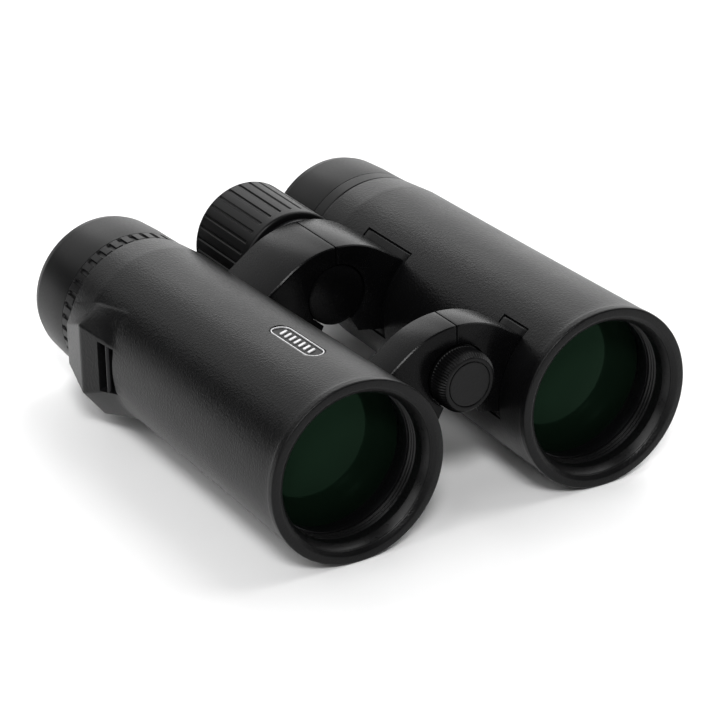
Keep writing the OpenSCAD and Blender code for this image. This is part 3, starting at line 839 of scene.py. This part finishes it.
def hinge_cap():
    """A shallow dome on the front of the rear hinge."""
    dome, front_y, back_y, cap_r = 45, 72.4, 74, 8.7
    face = [(r, front_y + dome - math.sqrt(dome * dome - r * r)) for r in spread(0.5, 8.4, 0.8)]
    edge_y = face[-1][1]
    outline = face + [(cap_r - 0.08, edge_y + 0.12), (cap_r, edge_y + 0.35), (cap_r, back_y), (0.5, back_y)]
    middle_disc = disc(0.6, front_y + 0.01, back_y, 0.05, 24, 2)
    return [lathe(outline, 128), middle_disc, tube(4.98, 3.6, 73.5, 78)]


GROOVES = 30
GROOVE_W = 0.7
GROOVE_DEPTH = 0.38
GROOVE_START = 3.0
GROOVE_STOP = 1.3


def grooved(angle, r, y):
    """The wheel's grooves, which start and end with a round end, clear of both rims."""
    if r < WHEEL_R - 1.6:
        return r
    across = math.radians(off_centre(angle, GROOVES)) * WHEEL_R
    half = GROOVE_W / 2
    to_end = min(y - WHEEL_Y - GROOVE_START, WHEEL_Y + WHEEL_LEN - GROOVE_STOP - y, half)
    inside = half - math.hypot(across, half - to_end)
    return r - GROOVE_DEPTH * smooth(inside / 0.3 + 0.4)


def wheel_grip():
    """The wheel's rubber, with closely spaced rings where the grooves end."""
    hub, lip, lip_y = 13.42, 12.4, 2.15
    y0, y1 = WHEEL_Y, WHEEL_Y + WHEEL_LEN
    front = [(hub, y0), (WHEEL_R - 0.9, y0), (WHEEL_R - 0.35, y0 + 0.15)]
    front += [(WHEEL_R - 0.05, y0 + 0.55), (WHEEL_R, y0 + 0.9)]
    heights = spread(y0 + 1.3, y0 + 4.2, 0.16) + spread(y0 + 5, y1 - 3, 4) + spread(y1 - 2.4, y1 - 1.1, 0.16)
    sides = [(WHEEL_R, y) for y in heights]
    back = [(WHEEL_R - 0.1, y1 - 0.8), (WHEEL_R - 0.45, y1 - 0.25), (WHEEL_R - 1, y1)]
    inside = [(lip + 0.1, y1), (lip, y1 - 0.1), (lip, y1 - lip_y), (hub, y1 - lip_y)]
    return lathe(front + sides + back + inside, GROOVES * 20, grooved)


CAP_RIBS = 64
CAP_FACE_Y = 6.6
CAP_BACK_Y = 12.35
CAP_R = 8.6
PLUG_R = 4.12
PLUG_END_Y = 14.95


def ribbed(angle, r, y):
    """The tripod cap's ribs, which run round its side and onto the chamfer."""
    if r < 7.2:
        return r
    wave = 0.5 - 0.5 * math.cos(math.radians(angle * CAP_RIBS))
    depth = 0.34 * smooth((r - 7.3) / 0.5) * smooth((CAP_BACK_Y - 0.35 - y) / 0.3)
    return r - depth * wave**0.7


def tripod_cap():
    """The cap's ribbed shell, open at the front for its disc, with a plain plug behind."""
    middle_r, recess_r, recess_y = 0.4, 6.3, CAP_FACE_Y + 0.8
    face = [(recess_r, recess_y), (recess_r, CAP_FACE_Y + 0.1), (6.42, CAP_FACE_Y), (7.15, CAP_FACE_Y)]
    bend = [(7.45, 0.12), (7.75, 0.4), (8.1, 0.85), (8.4, 1.35), (8.55, 1.9)]
    turn = [(r, CAP_FACE_Y + y) for r, y in bend]
    heights = spread(CAP_FACE_Y + 2.3, CAP_BACK_Y - 0.9, 1) + spread(CAP_BACK_Y - 0.7, CAP_BACK_Y - 0.2, 0.1)
    side = [(CAP_R, y) for y in heights]
    back = [(CAP_R - 0.2, CAP_BACK_Y), (PLUG_R, CAP_BACK_Y)]
    plug = [(PLUG_R, PLUG_END_Y - 0.2), (PLUG_R - 0.2, PLUG_END_Y)]
    plug += [(middle_r, PLUG_END_Y), (middle_r, recess_y)]
    return lathe(face + turn + side + back + plug, CAP_RIBS * 8, ribbed)


# ---------- badge ----------

BADGE_BARS = 7
BADGE_BAR_PITCH = 2.35


def pill_outline(inset, steps=10):
    r = BADGE_HALF_W - inset
    reach = BADGE_HALF_L - BADGE_HALF_W
    ends = []
    for start, way in ((0, 1), (180, -1)):
        for k in range(steps + 1):
            x, y = polar(r, start + 180 * k / steps)
            ends.append((x, y + way * reach))
    return ends


def flat_plate(outline, low, high, hole=None):
    """A flat plate lying in X and Y, between two heights along Z, with an optional hole of as many points."""
    n = len(outline)
    if hole is None:
        verts = [(x, y, z) for z in (low, high) for x, y in outline]
        faces = [tuple(reversed(range(n))), tuple(range(n, 2 * n))]
        faces += [(i, (i + 1) % n, n + (i + 1) % n, n + i) for i in range(n)]
        return verts, faces
    verts = [(x, y, z) for ring in (outline, hole) for z in (low, high) for x, y in ring]
    faces = []
    for i in range(n):
        k = (i + 1) % n
        faces.append((i, k, n + k, n + i))
        faces.append((2 * n + k, 2 * n + i, 3 * n + i, 3 * n + k))
        faces.append((n + i, n + k, 3 * n + k, 3 * n + i))
        faces.append((k, i, 2 * n + i, 2 * n + k))
    return verts, faces


def badge_matrix():
    """Carries a plate drawn flat, long side on Y, onto the barrel at the badge."""
    tilt = math.atan(TAPER - 2 * TAPER_EASING * BADGE_Y)
    r = skin_r(BADGE_Y)
    turn = Matrix.Rotation(math.radians(90 - BADGE_ANGLE), 4, "Y")
    lean = Matrix.Rotation(-tilt, 4, "X")
    return half_matrix("right") @ turn @ Matrix.Translation((0, BADGE_Y, r)) @ lean


def bar(centre):
    """One slanting bar of the badge's plain pattern."""
    half_long = 1.45 * Vector(polar(1, 24))
    half_thick = Vector((0, 0.42))
    corners = []
    for a, b in ((-1, -1), (1, -1), (1, 1), (-1, 1)):
        corners.append(tuple(Vector((0, centre)) + a * half_long + b * half_thick))
    return soften(corners, 0.15, 2)


# ---------- strap pin ----------

PIN_R = 0.8
PIN_AT = (-22.6, 92.6)


def strap_pin():
    """A black pin across the strap pocket, which the strap loops round."""
    low, high = SLOT_Z[0] - 0.6, SLOT_Z[1] + 0.6
    verts, faces = tube(PIN_R, 0.05, low, high, steps=32)
    return [(PIN_AT[0] + x, PIN_AT[1] + z, y) for x, y, z in verts], faces


# ---------- assembly ----------

for side in SIDES:
    half = side + "_half"
    cup = side + "_eyecup"
    rubber = [armour_mesh(side), rim_lip()]
    crown = turned_lens(LENS_R, LENS_Y, LENS_Y + 6.8, 92, 68)
    ocular = turned_lens(13.4, 123, 129.8, 30, 60, 96, 10)
    rows = (
        ("_rubber_armour", rubber, half, ARMOUR, ["_armour"], "rubber_armour", 45),
        ("_casting", casting(side), half, LACQUER, ["_body"], "casting_black", 30),
        ("_bore", [objective_cell()], half, BORE, ["_objective_cell"], "internal_black", 30),
        ("_retaining_ring", [objective_ring()], half, ANODISED, ["_objective_ring"], "black_aluminium", 30),
        ("_front_lens", [crown], half, COATED, ["_objective_crown"], "coated_glass", 60),
        ("_ocular_tube", [eyepiece_tube()], half, ANODISED, ["_eyepiece_tube"], "black_aluminium", 30),
        ("_ocular_ring", [eye_lens_ring()], half, ANODISED, ["_eye_lens_ring"], "black_aluminium", 30),
        ("_ocular_lens", [ocular], half, COATED, ["_eye_lens"], "coated_glass", 60),
        ("_strap_pin", [strap_pin()], half, ANODISED, [], "black_aluminium", 30),
        ("_cup_sleeve", [eyecup_sleeve()], cup, ANODISED, ["_eyecup_sleeve"], "internal_black", 30),
        ("_cup_rubber", [eyecup_rubber()], cup, GRIP, ["_eyecup_rubber"], "grip_rubber", 40),
    )
    for name, parts, body, material, nodes, slot, sharp in rows:
        nodes = [side + node for node in nodes]
        piece(side + name, parts, half_matrix(side), body, material, nodes, slot, sharp)

ring = [ring_blank(slotted, SLOTS * 14)]
place = half_matrix("right")
piece("dioptre_grip", ring, place, "dioptre_ring", GRIP, ["dioptre_ring"], "dioptre_black", 50)
ring = [ring_blank()]
place = half_matrix("left")
piece("plain_neck_ring", ring, place, "left_half", GRIP, ["left_neck_ring"], "dioptre_black", 50)

wheel_end_y = WHEEL_Y + WHEEL_LEN
collar = tube(14.2, 6.2, 94.55, 96.4, 0.25, 128)
wheel_disc = disc(11.5, wheel_end_y - 3.5, wheel_end_y - 0.7, 0.6)
cap_disc = disc(6.12, CAP_FACE_Y + 0.02, CAP_FACE_Y + 0.78, 0.12)
rows = (
    ("hinge_front_disc", hinge_cap(), "right_half", LACQUER, "hinge_cap", "casting_black", 30),
    ("collar", [collar], "right_half", ANODISED, "wheel_collar", "black_aluminium", 30),
    ("wheel_rubber", [wheel_grip()], "focus_wheel", GRIP, "wheel_grip", "grip_rubber", 40),
    ("wheel_end_disc", [wheel_disc], "focus_wheel", ANODISED, "wheel_cap", "black_aluminium", 30),
    ("socket_cap", [tripod_cap()], "tripod_cap", GRIP, "tripod_cap", "black_aluminium", 40),
    ("socket_cap_disc", [cap_disc], "tripod_cap", ARMOUR, "tripod_cap_disc", "grip_rubber", 30),
)
for name, parts, body, material, node, slot, sharp in rows:
    piece(name, parts, CENTRE, body, material, [node], slot, sharp)

plate_low, marks_low, marks_high = -0.79, -0.52, -0.2
plate = flat_plate(pill_outline(0.14), plate_low, -0.5)
piece("badge_plate", [plate], badge_matrix(), "right_half", BADGE_BLACK, ["badge"], "badge_black", 30)
marks = [flat_plate(pill_outline(0.16), marks_low, marks_high, pill_outline(0.42))]
for i in range(1, BADGE_BARS + 1):
    centre = (i - (BADGE_BARS + 1) / 2) * BADGE_BAR_PITCH
    marks.append(flat_plate(bar(centre), marks_low, marks_high))
piece("badge_marks", marks, badge_matrix(), "right_half", BADGE_SILVER, [], "badge_black", 30)

NODE_MATERIALS = {
    "rubber_armour": ARMOUR,
    "casting_black": LACQUER,
    "internal_black": BORE,
    "black_aluminium": ANODISED,
    "bare_steel": STEEL,
    "brass": BRASS,
    "coated_glass": COATED,
    "prism_glass": CLEAR,
    "grip_rubber": GRIP,
    "badge_black": BADGE_BLACK,
    "dioptre_black": GRIP,
}
# The record calls this pin bare steel, but its rear end shows and is shown blackened.
BLACKENED = ("front_hinge_pin",)
for entry in frame["record"]["subparts"]:
    node = frame["nodes"][entry["node"]]
    node.data.materials.clear()
    finish = ANODISED if entry["node"] in BLACKENED else NODE_MATERIALS[entry["material_slot"]]
    node.data.materials.append(finish)

# ---------- stage, light and camera ----------


def floor():
    """A plain pale floor, far wider than the picture."""
    material = Recipe("floor_white", (0.9, 0.9, 0.9), 0.6)
    speck = material.noise(0.05, 2.0)
    material.tint(material.ramp(speck, 0.3, 0.7, 0, 1), (0.89, 0.89, 0.89), (0.91, 0.91, 0.91))
    mesh = bpy.data.meshes.new("floor")
    reach = 4.0
    corners = [(-reach, -reach, 0), (reach, -reach, 0), (reach, reach, 0), (-reach, reach, 0)]
    mesh.from_pydata(corners, [], [(0, 1, 2, 3)])
    mesh.materials.append(material.material)
    obj = bpy.data.objects.new("floor", mesh)
    bpy.context.scene.collection.objects.link(obj)


def soft_light(name, towards, spread_degrees, strength):
    """A far, broad light that falls evenly over the floor. towards points from the object to the light."""
    light = bpy.data.lights.new(name, "SUN")
    light.angle = math.radians(spread_degrees)
    light.energy = strength
    obj = bpy.data.objects.new(name, light)
    obj.rotation_euler = (-Vector(towards)).to_track_quat("-Z", "Y").to_euler()
    bpy.context.scene.collection.objects.link(obj)


def surroundings(strength):
    world = bpy.data.worlds.new("studio")
    world.use_nodes = True
    background = world.node_tree.nodes["Background"]
    background.inputs["Color"].default_value = (1, 1, 1, 1)
    background.inputs["Strength"].default_value = strength
    bpy.context.scene.world = world


CAMERA_ANGLES = (-30.99, 25.649, -1.325)
CAMERA_FROM_RIM = (-0.46054, -0.70523, 0.42659)
CAMERA_LENS = 182.48


def camera():
    """A long lens from the front left, above, with the picture's slight roll."""
    azimuth, elevation, roll = (math.radians(a) for a in CAMERA_ANGLES)
    level = math.cos(elevation)
    back = Vector((math.sin(azimuth) * level, -math.cos(azimuth) * level, math.sin(elevation)))
    right = Vector((math.cos(azimuth), math.sin(azimuth), 0))
    up = back.cross(right)
    turned_right = right * math.cos(roll) + up * math.sin(roll)
    turned_up = -right * math.sin(roll) + up * math.cos(roll)
    turn = Matrix((turned_right, turned_up, back)).transposed().to_4x4()
    data = bpy.data.cameras.new("camera")
    data.sensor_width = 36
    data.lens = CAMERA_LENS
    data.clip_start = 0.05
    data.clip_end = 20
    obj = bpy.data.objects.new("camera", data)
    place = Vector((0, RIM_Y, AXIS_Z)) + Vector(CAMERA_FROM_RIM)
    obj.matrix_world = Matrix.Translation(place) @ turn
    bpy.context.scene.collection.objects.link(obj)
    bpy.context.scene.camera = obj


floor()
surroundings(0.02)
soft_light("back_right", (0.5, 0.77, 0.42), 50, 1.1)
soft_light("behind", (-0.1, 0.75, 0.6), 50, 0.7)
soft_light("left", (-0.75, -0.1, 0.75), 50, 1.3)
soft_light("right", (0.75, 0.1, 0.75), 60, 2.1)
soft_light("camera_left", (-0.32, -0.62, 0.71), 14, 1.9)
camera()
bpy.context.scene.view_settings.view_transform = "Standard"
